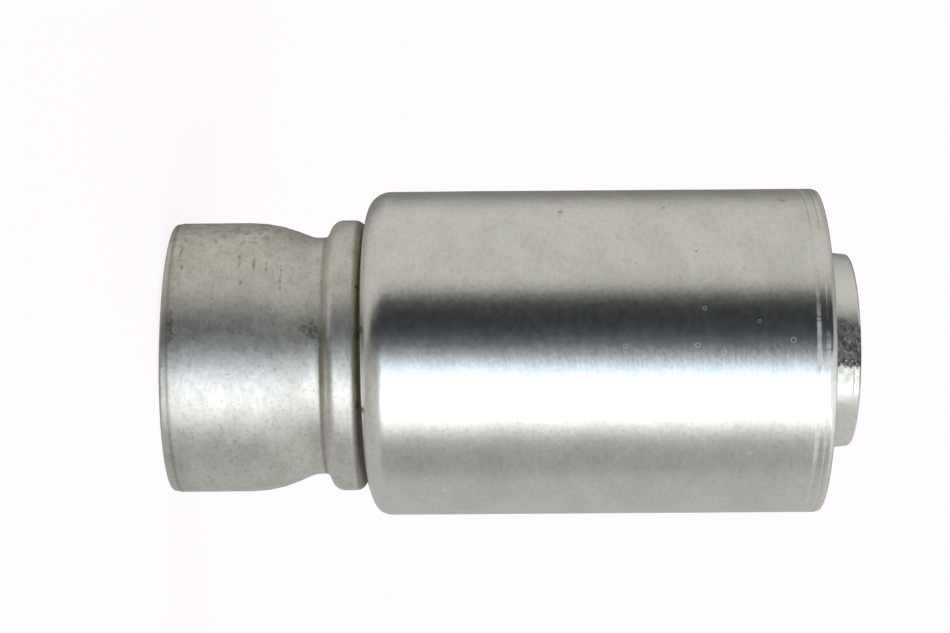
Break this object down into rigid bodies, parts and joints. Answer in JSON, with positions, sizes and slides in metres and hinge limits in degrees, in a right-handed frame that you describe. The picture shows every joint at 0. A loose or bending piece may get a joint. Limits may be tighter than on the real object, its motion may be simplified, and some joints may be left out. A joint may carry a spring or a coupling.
{
  "type": "weld-on hose fitting",
  "caption": "Straight aluminium hose end: a formed tube with a weld socket, a rolled bead and a ribbed insert, with a plain crimp shell locked on the bead.",
  "frame": {"origin": "centre of the weld socket's rim, on the fitting's axis, at the bottom of the standing part", "axes": "+Z along the axis from the weld socket to the hose insert, and X and Y are free because the part is round"},
  "size_m": [0.026, 0.026, 0.0541],
  "materials": {
    "stem_aluminium": "dull drawn aluminium with fine specks",
    "shell_aluminium": "satin aluminium with a fine tumbled grain"
  },
  "bodies": {
    "root": {"weld_stem": "stem_aluminium", "crimp_shell": "shell_aluminium"}
  },
  "joints": []
}
